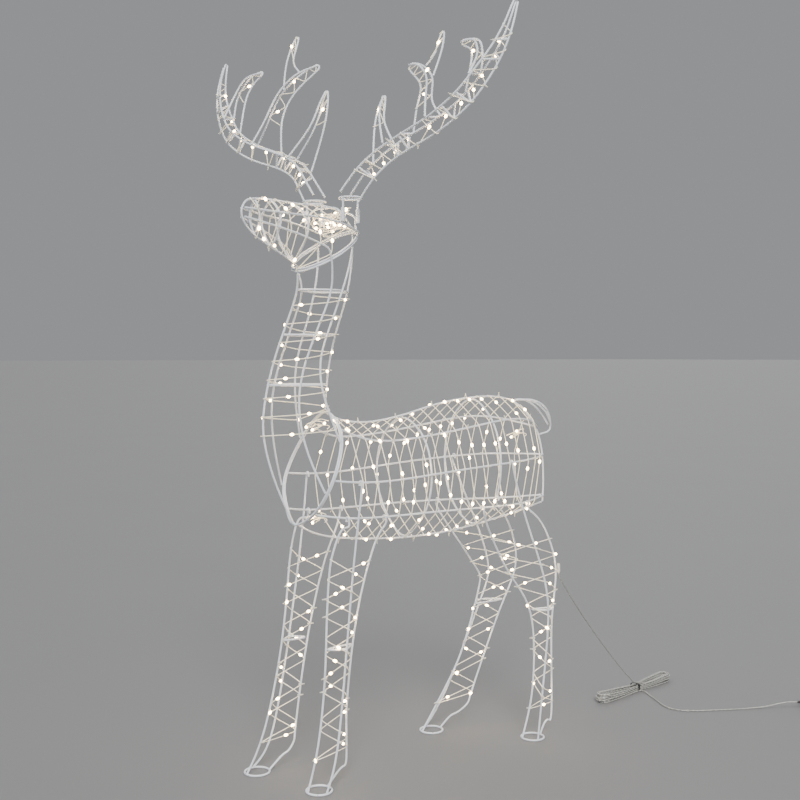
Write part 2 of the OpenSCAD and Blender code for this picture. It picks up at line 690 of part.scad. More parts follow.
placed() antler_side(-1) string_runs(antler_runs(-1));  // right_antler_string
placed() slack_bundles();
placed() lamps(frame_runs);  // frame_lamps
placed() antler_side(1) lamps(antler_runs(1));  // left_antler_lamps
placed() antler_side(-1) lamps(antler_runs(-1));  // right_antler_lamps
placed() frame_ties();
placed() antler_ties(1);  // left_antler_ties
placed() antler_ties(-1);  // right_antler_ties
placed() lead_sleeve();
placed() supply_lead();
placed() lead_hank();
placed() hank_tie();
placed() lead_tail();
placed() adaptor_sleeve();
placed() adaptor_case();
placed() adaptor_pins();
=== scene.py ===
"""Finishes for a light-up yard reindeer: a welded wire stag wound with a warm light string.

Run as a script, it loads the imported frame, then calls one operator for each group of pieces.
"""

import json
import math

import bpy
from bpy.props import (
    FloatProperty,
    FloatVectorProperty,
    IntProperty,
    PointerProperty,
)
from mathutils import Matrix, Vector
from mathutils.bvhtree import BVHTree
from mathutils.kdtree import KDTree

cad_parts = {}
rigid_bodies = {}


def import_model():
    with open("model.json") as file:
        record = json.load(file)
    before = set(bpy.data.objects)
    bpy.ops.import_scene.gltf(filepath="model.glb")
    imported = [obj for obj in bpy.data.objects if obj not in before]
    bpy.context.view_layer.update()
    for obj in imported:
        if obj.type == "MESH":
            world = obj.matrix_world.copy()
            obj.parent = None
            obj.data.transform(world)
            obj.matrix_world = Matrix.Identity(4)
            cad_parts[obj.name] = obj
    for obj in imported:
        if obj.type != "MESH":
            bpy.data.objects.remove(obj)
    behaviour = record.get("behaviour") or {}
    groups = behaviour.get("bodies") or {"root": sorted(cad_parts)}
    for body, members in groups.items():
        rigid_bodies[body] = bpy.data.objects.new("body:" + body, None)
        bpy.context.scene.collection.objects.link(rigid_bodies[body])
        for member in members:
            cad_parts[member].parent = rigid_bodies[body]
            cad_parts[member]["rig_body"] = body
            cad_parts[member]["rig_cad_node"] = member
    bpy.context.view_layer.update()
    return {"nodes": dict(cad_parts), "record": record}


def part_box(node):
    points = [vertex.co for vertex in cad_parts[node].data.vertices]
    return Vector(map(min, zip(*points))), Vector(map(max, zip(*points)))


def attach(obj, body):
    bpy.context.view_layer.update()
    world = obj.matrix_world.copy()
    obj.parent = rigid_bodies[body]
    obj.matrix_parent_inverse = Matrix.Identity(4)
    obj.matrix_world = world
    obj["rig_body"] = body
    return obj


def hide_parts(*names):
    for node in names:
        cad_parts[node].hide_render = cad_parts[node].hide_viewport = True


bl_info = {
    "name": "Light-up Yard Reindeer",
    "version": (1, 0, 0),
    "blender": (4, 5, 0),
    "location": "View3D > Sidebar > Reindeer",
    "description": "Finishes the wire stag, its light strings and its supply lead",
    "category": "Object",
}

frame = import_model()
nodes = frame["nodes"]
bodies_of_nodes = {
    name: body
    for body, names in frame["record"]["behaviour"]["bodies"].items()
    for name in names
}

# The whole figure's middle, measured from the midpoint between its feet, in metres
MIDDLE = Vector((-0.0072, 0.0265, 0.0))

WIRE_NODES = [
    "spine_rail", "left_side_rails", "right_side_rails", "belly_rail", "barrel_rib", "rump_hoop",
    "chest_ring", "tail_loop", "neck_base_ring", "throat_and_nape_rails", "left_neck_rails",
    "right_neck_rails", "neck_hoops", "neck_top_ring", "skull_ring", "head_profile",
    "left_cheek_rail", "right_cheek_rail", "muzzle_hoops", "crown_arches", "left_front_leg",
    "right_front_leg", "left_rear_leg", "right_rear_leg", "knee_bands", "left_antler_beam",
    "left_antler_tines", "left_antler_rungs", "right_antler_beam", "right_antler_tines",
    "right_antler_rungs",
]
TURNED_NODES = [
    "left_sockets", "right_sockets", "hoof_rings", "left_antler_ring", "right_antler_ring",
    "left_antler_pegs", "right_antler_pegs",
]
STRING_NODES = [
    "body_light_string", "neck_light_string", "head_light_string", "leg_light_strings",
    "left_antler_string", "right_antler_string", "slack_bundles",
]
LAMP_NODES = ["frame_lamps", "left_antler_lamps", "right_antler_lamps"]
TIE_NODES = ["frame_ties", "left_antler_ties", "right_antler_ties"]

# The lead's way from the left rear hock down to the hank, and on from it to the adaptor
LEAD_ROUTE = [
    (0.0855, 0.378, 0.343), (0.0855, 0.380, 0.334), (0.080, 0.398, 0.314), (0.062, 0.456, 0.254),
    (0.038, 0.532, 0.182), (0.016, 0.604, 0.118), (0.000, 0.660, 0.070), (-0.009, 0.696, 0.041),
    (-0.014, 0.712, 0.029), (-0.017, 0.722, 0.025),
]
TAIL_ROUTE = [
    (-0.004, 0.740, 0.004), (0.020, 0.731, 0.002), (0.048, 0.719, 0.002), (0.076, 0.706, 0.002),
    (0.104, 0.696, 0.002), (0.132, 0.700, 0.002), (0.158, 0.726, 0.002), (0.184, 0.772, 0.002),
    (0.214, 0.832, 0.002), (0.240, 0.876, 0.006), (0.258, 0.904, 0.013), (0.270, 0.922, 0.016),
    (0.282, 0.938, 0.016), (0.306, 0.970, 0.016),
]
LEAD_SPACING = 0.006
CORE_RADIUS = 0.27  # of the lead's diameter
CORE_OFFSET = 0.22  # of the lead's diameter
CORE_PITCH = 0.022
CORE_SIDES = 6

# The folded hank lies along its own Y. Its turns are drawn down one side and up the other
HANK_MIDDLE = Vector((-0.028, 0.730, 0.0))
HANK_TURN = math.radians(8)
HANK_BENDS = (0.0095, 0.0131)
HANK_STATIONS = [
    0.114, 0.088, 0.062, 0.036, 0.014, 0.004, -0.008, -0.032, -0.058, -0.084, -0.110,
]
HANK_ENTRY = 7  # the station at which the lead joins its first turn
HANK_EXIT = [
    (0.0131, -0.110), (0.0133, -0.080), (0.0128, -0.050), (0.0112, -0.020), (0.0106, 0.002),
    (0.0130, 0.008),
]
STRAND_HEIGHT = 0.0018  # of the lowest strand's middle above the floor
LAYER_RISE = 0.0037
TWIST_TIE_Y = 0.004
TWIST_TIE_PULL = 0.0062
TWIST_TIE_REACH = 0.040
TWIST_TIE_HALF_WIDTH = 0.0128
TWIST_TIE_HEIGHT = 0.0190

# The adaptor is drawn with the lead's end at the origin and its case along +Y
ADAPTOR_END = Vector((0.282, 0.938, 0.0))
ADAPTOR_TURN = math.radians(-37)
ADAPTOR_AXIS = 0.016  # height of the lead and the pins above the floor
CASE_START = 0.018
CASE_WIDTH, CASE_LENGTH, CASE_HEIGHT = 0.038, 0.062, 0.032
RELIEF_LENGTH = 0.020
RELIEF_STEPS = 22
PIN_RADIUS = 0.0020
PIN_LENGTH = 0.019
PIN_SIDE = 0.0095  # from the case's middle to each pin

# Rounding of the straight-sided CAD tubes
TUBE_LEVELS = 2
TUBE_SIDE_ANGLE = math.radians(32)

# How far the vertices of one lamp, or of one tie, lie from each other
LAMP_SPAN = 0.0056
CABLE_TIE_SPAN = 0.0090
CABLE_TIE_END = 0.0045  # of the square end of a tie's tail
CABLE_TIE_RISE = 0.0055  # from the rail's middle to the tie's middle

FLOOR_SIZE = 400.0
FLOOR_DROP = 0.0003


# ---- Sizes and colours that a user would change ----


class REINDEER_PG_camera(bpy.types.PropertyGroup):
    """Where the view is taken from."""

    place: FloatVectorProperty(
        name="Place", description="The camera's place", size=3, subtype="TRANSLATION",
        default=(1.8612, -1.2885, 0.81),
    )
    turn: FloatProperty(
        name="Turn", description="The camera's turn about the upright, from looking along +Y",
        subtype="ANGLE", default=math.radians(55.3),
    )
    lens: FloatProperty(name="Lens", description="Focal length", default=49.9, min=20, max=120)
    shift: FloatProperty(
        name="Shift", description="Upward shift of the view", default=-0.055, min=-0.2, max=0.2
    )


class REINDEER_PG_wires(bpy.types.PropertyGroup):
    """The coated frame wire."""

    radius: FloatProperty(
        name="Radius", description="Radius of the wire", default=0.0020, unit="LENGTH"
    )
    swell: FloatProperty(
        name="Swell", description="Makes up for what smoothing takes off a six-sided wire",
        default=0.00038, unit="LENGTH",
    )
    coat: FloatVectorProperty(
        name="Coat", description="Colour of the powder coat", size=3, subtype="COLOR",
        default=(0.82, 0.87, 0.95),
    )
    steel: FloatVectorProperty(
        name="Steel", description="Colour of bare wire where the coat has worn", size=3,
        subtype="COLOR", default=(0.30, 0.31, 0.33),
    )


class REINDEER_PG_lights(bpy.types.PropertyGroup):
    """The light string, its lamps and its ties."""

    radius: FloatProperty(
        name="Radius", description="Radius of the string", default=0.0009, unit="LENGTH"
    )
    swell: FloatProperty(
        name="Swell", description="Makes up for what smoothing takes off a three-sided string",
        default=0.0010, unit="LENGTH",
    )
    insulation: FloatVectorProperty(
        name="Insulation", description="Colour of the string's insulation", size=3,
        subtype="COLOR", default=(0.98, 0.92, 0.74),
    )
    lamp_length: FloatProperty(
        name="Lamp length", description="Length of a lamp bead", default=0.0090, unit="LENGTH"
    )
    lamp_width: FloatProperty(
        name="Lamp width", description="Thickness of a lamp bead", default=0.0056, unit="LENGTH"
    )
    glow: FloatVectorProperty(
        name="Glow", description="Colour of the lamps", size=3, subtype="COLOR",
        default=(1.0, 0.60, 0.22),
    )
    strength: FloatProperty(name="Strength", description="Brightness of the lamps", default=45.0)


class REINDEER_PG_lead(bpy.types.PropertyGroup):
    """The supply lead from the left rear leg to the mains adaptor."""

    length: FloatProperty(
        name="Length", description="Length of the whole lead", default=5.0, unit="LENGTH"
    )
    diameter: FloatProperty(
        name="Diameter", description="Across both cores", default=0.0035, unit="LENGTH"
    )
    turns: IntProperty(name="Turns", description="Turns in the folded hank", default=7, min=3)
    hank_length: FloatProperty(
        name="Hank length", description="Length of the folded hank", default=0.288, unit="LENGTH"
    )


class REINDEER_PG_stage(bpy.types.PropertyGroup):
    """The floor and the studio light."""

    floor: FloatVectorProperty(
        name="Floor", description="Colour of the floor", size=3, subtype="COLOR",
        default=(0.175, 0.178, 0.184),
    )
    sky: FloatProperty(
        name="Sky", description="Brightness of the soft light all round", default=0.38
    )


def settings(name):
    return getattr(bpy.context.scene, "reindeer_" + name)


# ---- Shader maths ----


class Field:
    """A value in a material's nodes. Sums on it add Math nodes."""

    def __init__(self, tree, socket):
        self.tree = tree
        self.socket = socket

    def _math(self, operation, first, second):
        return make(self.tree, "ShaderNodeMath", [first, second], {"operation": operation})

    def __add__(self, other):
        return self._math("ADD", self, other)

    def __radd__(self, other):
        return self._math("ADD", other, self)

    def __sub__(self, other):
        return self._math("SUBTRACT", self, other)

    def __rsub__(self, other):
        return self._math("SUBTRACT", other, self)

    def __mul__(self, other):
        return self._math("MULTIPLY", self, other)

    def __rmul__(self, other):
        return self._math("MULTIPLY", other, self)


def make(tree, kind, values=(), options=None, output=0):
    """Adds a node. Options are set first, and values go to its sockets by place or by name."""
    node = tree.nodes.new(kind)
    for name, value in (options or {}).items():
        setattr(node, name, value)
    pairs = values.items() if isinstance(values, dict) else enumerate(values)
    for key, value in pairs:
        if isinstance(value, Field):
            tree.links.new(value.socket, node.inputs[key])
        else:
            node.inputs[key].default_value = value
    return Field(tree, node.outputs[output])


class Finish:
    """A material and the usual nodes that its pattern is built from."""

    def __init__(self, name):
        self.material = bpy.data.materials.new(name)
        self.material.use_nodes = True
        self.tree = self.material.node_tree
        self.shader = next(n for n in self.tree.nodes if n.type == "BSDF_PRINCIPLED")
        self.place = make(self.tree, "ShaderNodeTexCoord", output="Object")

    def stretched(self, scale):
        values = {"Vector": self.place, "Scale": scale}
        return make(self.tree, "ShaderNodeMapping", values)

    def noise(self, scale, detail, rough=0.5, at=None):
        values = {"Vector": at or self.place, "Scale": scale, "Detail": detail, "Roughness": rough}
        return make(self.tree, "ShaderNodeTexNoise", values)

    def between(self, value, low, high):
        values = {"Value": value, "From Min": low, "From Max": high}
        return make(self.tree, "ShaderNodeMapRange", values)

    def mixed(self, share, first, second):
        # A Mix node's colours are its inputs 6 and 7 and its output 2
        values = {"Factor": share, 6: first, 7: second}
        return make(self.tree, "ShaderNodeMix", values, {"data_type": "RGBA"}, output=2)

    def bumped(self, height, distance, strength):
        values = {"Height": height, "Distance": distance, "Strength": strength}
        self.set(Normal=make(self.tree, "ShaderNodeBump", values))

    def set(self, **values):
        for name, value in values.items():
            socket = self.shader.inputs[name.replace("_", " ")]
            if isinstance(value, Field):
                self.tree.links.new(value.socket, socket)
            else:
                socket.default_value = value


def colour(values):
    return (*values, 1.0)


def powder_coat(name, coat, steel, worn=0.70):
    """Satin powder coat with fine orange peel, cloudy dirt and small worn spots."""
    finish = Finish(name)
    cloudy = finish.between(finish.noise(14.0, 4.0), 0.35, 0.68)
    dull = [0.80 * c for c in coat]
    shade = finish.mixed(cloudy, colour(coat), colour(dull))
    chips = finish.between(finish.noise(260.0, 5.0, 0.62), worn, worn + 0.03)
    finish.set(Base_Color=finish.mixed(chips, shade, colour(steel)))
    finish.set(Roughness=0.34 + 0.14 * cloudy + 0.10 * chips)
    finish.set(Metallic=0.55 * chips)
    finish.set(Coat_Weight=0.15, Coat_Roughness=0.3)
    peel = finish.noise(1500.0, 2.0) - 0.7 * chips
    finish.bumped(peel, 0.00012, 0.5)
    return finish.material


def string_insulation_painted_glow(name, tint):
    """Clear insulation over two fine twisted wires, with a painted warm glow along it that stands
    in for the lamps' light falling on it.
    """
    finish = Finish(name)
    slant = finish.stretched((1.0, 1.0, 1.7))
    waves = make(
        finish.tree, "ShaderNodeTexWave",
        {"Vector": slant, "Scale": 120.0, "Distortion": 2.0, "Detail": 1.0},
        {"wave_type": "BANDS", "bands_direction": "DIAGONAL"}, output=1,
    )
    strand = finish.between(waves, 0.25, 0.75)
    milky = finish.noise(35.0, 3.0)
    dark = [0.72 * c for c in tint]
    body = finish.mixed(strand, colour(dark), colour(tint))
    finish.set(Base_Color=finish.mixed(0.35 * milky, body, colour((0.93, 0.92, 0.86))))
    finish.set(Roughness=0.16 + 0.16 * milky, Specular_IOR_Level=0.6, Coat_Weight=0.4)
    # Painted glow: this emission is no lamp. It paints the lamps' warm light onto the string,
    # dimmer between the strands.
    finish.set(Emission_Color=finish.mixed(strand, colour(dark), colour((1.0, 0.80, 0.46))))
    finish.set(Emission_Strength=0.7)
    finish.bumped(strand, 0.0003, 0.6)
    return finish.material


def lamp_resin(name, glow, strength):
    """A lit resin drop whose warm light varies a little over its skin."""
    finish = Finish(name)
    pits = finish.noise(900.0, 2.0)
    pale = colour((1.0, 0.78, 0.44))
    warm = finish.mixed(finish.between(pits, 0.3, 0.7), colour(glow), pale)
    finish.set(Base_Color=colour((1.0, 0.93, 0.78)), Roughness=0.12 + 0.1 * pits)
    finish.set(Emission_Color=warm, Emission_Strength=strength, Coat_Weight=0.6)
    finish.bumped(pits, 0.0001, 0.4)
    return finish.material


def nylon(name, tint):
    """Milky moulded nylon with flow marks."""
    finish = Finish(name)
    flow = finish.noise(400.0, 3.0, at=finish.stretched((1.0, 1.0, 0.25)))
    darker = [0.78 * c for c in tint]
    streaks = finish.between(flow, 0.3, 0.7)
    finish.set(Base_Color=finish.mixed(streaks, colour(tint), colour(darker)))
    finish.set(Roughness=0.38 + 0.2 * flow, Subsurface_Weight=0.15)
    finish.shader.inputs["Subsurface Radius"].default_value = (0.002, 0.0018, 0.0015)
    finish.bumped(flow, 0.0001, 0.5)
    return finish.material


def clear_lead(name):
    """Clear flexible insulation in which grey-tinned strands show."""
    finish = Finish(name)
    fibres = finish.noise(700.0, 2.0, at=finish.stretched((1.0, 1.0, 0.3)))
    strands = finish.between(fibres, 0.35, 0.65)
    haze = finish.noise(22.0, 4.0)
    core = finish.mixed(strands, colour((0.13, 0.14, 0.14)), colour((0.40, 0.40, 0.37)))
    finish.set(Base_Color=finish.mixed(0.4 * haze, core, colour((0.62, 0.62, 0.57))))
    finish.set(Roughness=0.14 + 0.16 * haze, Specular_IOR_Level=0.65, Coat_Weight=0.5)
    finish.bumped(strands, 0.00015, 0.5)
    return finish.material


def moulded_plastic(name, tint, grain=900.0):
    """Spark-eroded texture of a moulded case, rubbed smoother in patches."""
    finish = Finish(name)
    rubbed = finish.between(finish.noise(40.0, 4.0), 0.4, 0.7)
    lighter = [min(1.0, 1.7 * c + 0.01) for c in tint]
    finish.set(Base_Color=finish.mixed(0.6 * rubbed, colour(tint), colour(lighter)))
    finish.set(Roughness=0.42 + 0.18 * (1 - rubbed))
    finish.bumped(finish.noise(grain, 3.0, 0.6), 0.0002, 0.45)
    return finish.material


def plated_pin(name):
    """Nickel plate with drawn lines and a few insertion scratches."""
    finish = Finish(name)
    lines = finish.noise(500.0, 3.0, at=finish.stretched((1.0, 0.08, 1.0)))
    bright, drawn = colour((0.74, 0.73, 0.70)), colour((0.56, 0.54, 0.50))
    finish.set(Base_Color=finish.mixed(lines, bright, drawn))
    finish.set(Metallic=1.0, Roughness=0.16 + 0.25 * lines)
    finish.bumped(lines, 0.00005, 0.5)
    return finish.material


def studio_floor(name, tint):
    """Matt floor paint, a little paler in wide soft patches."""
    finish = Finish(name)
    soft = finish.noise(1.3, 2.0)
    paler = [1.06 * c for c in tint]
    finish.set(Base_Color=finish.mixed(soft, colour(tint), colour(paler)), Roughness=0.7)
    return finish.material


# ---- Modelling helpers ----


def place(point):
    """A point given from the midpoint between the feet, in the frame's own place."""
    return Vector(point) - MIDDLE


def deselect_all():
    if bpy.context.mode != "OBJECT":
        bpy.ops.object.mode_set(mode="OBJECT")
    bpy.ops.object.select_all(action="DESELECT")


def select_only(obj):
    deselect_all()
    obj.select_set(True)
    bpy.context.view_layer.objects.active = obj


def joined(pieces, name):
    """The pieces as one object, under a new name."""
    if not pieces:
        raise ValueError("there is nothing to join as " + name)
    deselect_all()
    for piece in pieces:
        piece.select_set(True)
    bpy.context.view_layer.objects.active = pieces[0]
    bpy.ops.object.join()
    whole = bpy.context.active_object
    whole.name = name
    return whole


def edit_all():
    """Opens the active piece in edit mode with everything selected."""
    bpy.ops.object.mode_set(mode="EDIT")
    bpy.ops.mesh.select_all(action="SELECT")


def leave_edit():
    bpy.ops.object.mode_set(mode="OBJECT")


def settle():
    """The active piece's place, turn and size go into its mesh."""
    bpy.ops.object.transform_apply(location=True, rotation=True, scale=True)


def cut_levels(heights):
    """Cuts the piece that is in edit mode all round at each height."""
    for height in heights:
        bpy.ops.mesh.select_all(action="SELECT")
        bpy.ops.mesh.bisect(plane_co=(0, 0, height), plane_no=(0, 0, 1))


def select_faces(obj, test):
    """Opens a piece in edit mode with the faces that pass a test selected."""
    select_only(obj)
    mesh = obj.data
    passed = [bool(test(face)) for face in mesh.polygons]
    for elements in (mesh.vertices, mesh.edges):
        elements.foreach_set("select", [False] * len(elements))
    mesh.polygons.foreach_set("select", passed)
    bpy.ops.object.mode_set(mode="EDIT")
    bpy.ops.mesh.select_mode(type="FACE")


def own_copy(node, name):
    """A merged copy of a CAD node's mesh, free of the node."""
    select_only(nodes[node])
    bpy.ops.object.duplicate()
    copy = bpy.context.active_object
    bpy.ops.object.parent_clear(type="CLEAR_KEEP_TRANSFORM")
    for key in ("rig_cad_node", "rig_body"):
        del copy[key]
    copy.name = name
    edit_all()
    bpy.ops.mesh.remove_doubles(threshold=0.00001)
    leave_edit()
    return copy


def ends_a_tube(polygon, mesh, radius):
    """Whether a triangle's corners all lie on one ring of a tube of that radius."""
    corners = [mesh.vertices[i].co for i in polygon.vertices]
    sides = [(corners[i] - corners[i - 1]).length for i in range(3)]
    reach = sides[0] * sides[1] * sides[2] / (4 * polygon.area) if polygon.area else 0.0
    return abs(reach - radius) < 0.03 * radius


def smoothed_tube(node, name, radius, swell):
    """A CAD node's straight-sided tubes as round, smoothly bent ones, as long as they were.

    Smoothing pulls a closed end back, so the ends are opened first and filled again after it.
    """
    tube = own_copy(node, name)
    select_faces(tube, lambda face: ends_a_tube(face, tube.data, radius))
    bpy.ops.mesh.delete(type="FACE")
    bpy.ops.mesh.select_all(action="SELECT")
    bpy.ops.mesh.tris_convert_to_quads(face_threshold=TUBE_SIDE_ANGLE, shape_threshold=math.pi)
    bpy.ops.transform.shrink_fatten(value=swell)
    leave_edit()
    apply_subdivision(tube, TUBE_LEVELS)
    edit_all()
    bpy.ops.mesh.fill_holes(sides=0)
    leave_edit()
    bpy.ops.object.shade_smooth_by_angle(angle=math.radians(60))
    return tube


def apply_subdivision(obj, levels):
    select_only(obj)
    smoother = obj.modifiers.new("smoother", "SUBSURF")
    smoother.levels = levels
    smoother.render_levels = levels
    bpy.ops.object.modifier_apply(modifier=smoother.name)


def dress(obj, material):
    obj.data.materials.clear()
    obj.data.materials.append(material)


def stand_for(obj, node, material):
    """The piece takes its node's place and body, dressed in the given material."""
    dress(obj, material)
    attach(obj, bodies_of_nodes[node])
    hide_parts(node)


def clusters(node, reach):
    """The vertices of each small solid in a node, gathered by distance."""
    points = [v.co.copy() for v in nodes[node].data.vertices]
    tree = KDTree(len(points))
    for index, point in enumerate(points):
        tree.insert(point, index)
    tree.balance()
    seen = set()
    groups = []
    for index, point in enumerate(points):
        if index in seen:
            continue
        near = [i for _, i, _ in tree.find_range(point, reach) if i not in seen]
        seen.update(near)
        groups.append([points[i] for i in near])
    return groups


def average(points):
    return sum(points, Vector()) / len(points)


class Direction:
    """Tells which way the tubes of some nodes run near a point."""

    def __init__(self, names):
        self.points = []
        self.faces = []
        for name in names:
            mesh = nodes[name].data
            first = len(self.points)
            self.points += [v.co.copy() for v in mesh.vertices]
            self.faces += [[first + i for i in p.vertices] for p in mesh.polygons]
        self.tree = BVHTree.FromPolygons(self.points, self.faces)

    def near(self, point):
        face = self.faces[self.tree.find_nearest(point)[2]]
        corners = [self.points[i] for i in face]
        edges = [corners[i] - corners[i - 1] for i in range(len(corners))]
        return max(edges, key=lambda edge: edge.length).normalized()


def turned_to(along, up):
    """A turn that takes X to along, and Z as near to up as it can."""
    x = along.normalized()
    y = up.cross(x)
    y = y.normalized() if y.length > 1e-6 else x.orthogonal().normalized()
    return Matrix((x, y, x.cross(y))).transposed().to_4x4()


def upright(along, up):
    """A turn that takes Z to up, and X as near to along as it can."""
    z = up.normalized()
    y = z.cross(along)
    y = y.normalized() if y.length > 1e-6 else z.orthogonal().normalized()
    return Matrix((y.cross(z), y, z)).transposed().to_4x4()


def copies_of(template, matrices, name):
    """One object made of copies of a small modelled shape."""
    copies = []
    for matrix in matrices:
        copy = template.copy()
        copy.data = template.data.copy()
        copy.data.transform(matrix)
        bpy.context.collection.objects.link(copy)
        copies.append(copy)
    return joined(copies, name)


def smooth_run(points, spacing):
    """Points along one smooth curve through the given ones, at about the given spacing."""
    run = [Vector(p) for p in points]
    first = 2 * run[0] - run[1]
    last = 2 * run[-1] - run[-2]
    run = [first, *run, last]
    out = []
    for a, b, c, d in zip(run, run[1:], run[2:], run[3:]):
        steps = max(1, round((c - b).length / spacing))
        for k in range(steps):
            t = k / steps
            bend = t * t * (a - 2.5 * b + 2 * c - 0.5 * d)
            ease = 0.5 * t**3 * (3 * b - a - 3 * c + d)
            out.append(b + 0.5 * t * (c - a) + bend + ease)
    out.append(run[-2])
    return out


# ---- The camera ----


class REINDEER_OT_camera(bpy.types.Operator):
    """Stand the camera in front of the stag's left shoulder"""

    bl_idname = "reindeer.camera"
    bl_label = "Camera"

    def execute(self, context):
        wanted = settings("camera")
        bpy.ops.object.camera_add(
            location=wanted.place, rotation=(math.radians(90), 0, wanted.turn)
        )
        camera = context.active_object
        camera.name = "camera"
        camera.data.lens = wanted.lens
        camera.data.sensor_width = 36
        camera.data.shift_y = wanted.shift
        context.scene.camera = camera
        return {"FINISHED"}


# ---- The supply lead ----


def hank_to_frame(point):
    turn = Matrix.Rotation(HANK_TURN, 3, "Z")
    return place(turn @ Vector(point) + HANK_MIDDLE)


def pinched(x, y):
    """The tie draws both sides of the hank in towards its middle."""
    pull = TWIST_TIE_PULL * math.exp(-(((y - TWIST_TIE_Y) / TWIST_TIE_REACH) ** 2))
    return x - math.copysign(min(pull, 0.9 * abs(x)), x)


def hank_height(layer, layers, y):
    """Layers lie tight at the tie and fan out towards both ends."""
    fan = 1 + 0.55 * min(1.0, abs(y - TWIST_TIE_Y) / 0.12) ** 1.5
    return STRAND_HEIGHT + LAYER_RISE * (layers - 1 - layer) * fan


def hank_turn(turn, half, layers):
    """One turn of the hank: down its right side, round the end, up its left side and back."""
    layer, beside = divmod(turn, 2)
    radius = HANK_BENDS[beside if layer % 2 == 0 else 1 - beside]
    end = half - 0.0045 - 0.004 * math.sin(2.4 * turn)
    arc = [math.pi * k / 10 for k in range(11)]
    right = [(radius, y) for y in reversed(HANK_STATIONS)]
    top = [(radius * math.cos(a), end + radius * math.sin(a)) for a in arc]
    left = [(-radius, y) for y in HANK_STATIONS]
    bottom = [(-radius * math.cos(a), -end - radius * math.sin(a)) for a in arc]
    ring = right + top + left + bottom
    points = []
    for x, y in ring[HANK_ENTRY if turn == 0 else 0:]:
        sway = 0.0004 * math.sin(9.1 * turn + 34 * y)
        height = hank_height(layer, layers, y)
        points.append(hank_to_frame((pinched(x, y) + sway, y, height)))
    return points


def lead_points(wanted):
    """The whole lead: down from the leg, round the hank and on to the adaptor."""
    half = wanted.hank_length / 2 - HANK_BENDS[1] - STRAND_HEIGHT
    layers = (wanted.turns + 1) // 2
    run = [place(p) for p in LEAD_ROUTE]
    for turn in range(wanted.turns):
        run += hank_turn(turn, half, layers)
    run += [hank_to_frame((x, y, 0.0019)) for x, y in HANK_EXIT]
    run += [place(p) for p in TAIL_ROUTE]
    run = smooth_run(run, LEAD_SPACING)
    for point in run:
        point.z = max(point.z, 0.5 * wanted.diameter)
    return run


def turned_frames(points):
    """At each point, the way on and a side that is carried along without twist."""
    side = Vector((1, 0, 0))
    frames = []
    for i, point in enumerate(points):
        ahead = (points[min(i + 1, len(points) - 1)] - points[max(i - 1, 0)]).normalized()
        side = (side - side.dot(ahead) * ahead).normalized()
        frames.append((point, ahead, side))
    return frames


def ring_round(middle, ahead, side, radius, sides):
    """Points round one ring of a tube."""
    other = ahead.cross(side)
    turns = [2 * math.pi * k / sides for k in range(sides)]
    return [middle + radius * (math.cos(a) * side + math.sin(a) * other) for a in turns]


def tube_faces(first, rings, sides):
    """The sides and the two ends of a tube whose rings are numbered from first."""
    faces = []
    for i in range(rings - 1):
        for k in range(sides):
            a = first + i * sides + k
            b = first + i * sides + (k + 1) % sides
            faces.append((a, b, b + sides, a + sides))
    last = first + (rings - 1) * sides
    faces.append([first + k for k in reversed(range(sides))])
    faces.append([last + k for k in range(sides)])
    return faces


def meshed(name, vertices, faces):
    mesh = bpy.data.meshes.new(name)
    mesh.from_pydata([tuple(v) for v in vertices], [], faces)
    piece = bpy.data.objects.new(name, mesh)
    bpy.context.collection.objects.link(piece)
    return piece


def twisted_pair(name, points, diameter):
    """Two round cores twisted together along the points, closed at both ends."""
    vertices = []
    faces = []
    frames = turned_frames(points)
    for strand in (0.0, math.pi):
        travelled = 0.0
        faces += tube_faces(len(vertices), len(frames), CORE_SIDES)
        for i, (point, ahead, side) in enumerate(frames):
            travelled += (point - frames[max(i - 1, 0)][0]).length
            angle = strand + 2 * math.pi * travelled / CORE_PITCH
            other = ahead.cross(side)
            out = math.cos(angle) * side + math.sin(angle) * other
            middle = point + CORE_OFFSET * diameter * out
            vertices += ring_round(middle, ahead, side, CORE_RADIUS * diameter, CORE_SIDES)
    pair = meshed(name, vertices, faces)
    select_only(pair)
    bpy.ops.object.shade_smooth()
    return pair


def round_wire(name, points, radius, sides):
    """One closed round wire along some points."""
    vertices = []
    for point, ahead, side in turned_frames(points):
        vertices += ring_round(point, ahead, side, radius, sides)
    return meshed(name, vertices, tube_faces(0, len(points), sides))


class REINDEER_OT_supply_lead(bpy.types.Operator):
    """Run the lead from the left rear leg through its folded hank to the adaptor"""

    bl_idname = "reindeer.supply_lead"
    bl_label = "Supply lead"

    def execute(self, context):
        wanted = settings("lead")
        points = lead_points(wanted)
        lead = twisted_pair("supply_lead_pair", points, wanted.diameter)
        dress(lead, clear_lead("clear_lead"))
        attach(lead, "frame")
        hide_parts("supply_lead", "lead_hank", "lead_tail")
        with_pieces = [lead_sleeve(), hank_tie(), *adaptor()]
        return {"FINISHED"}


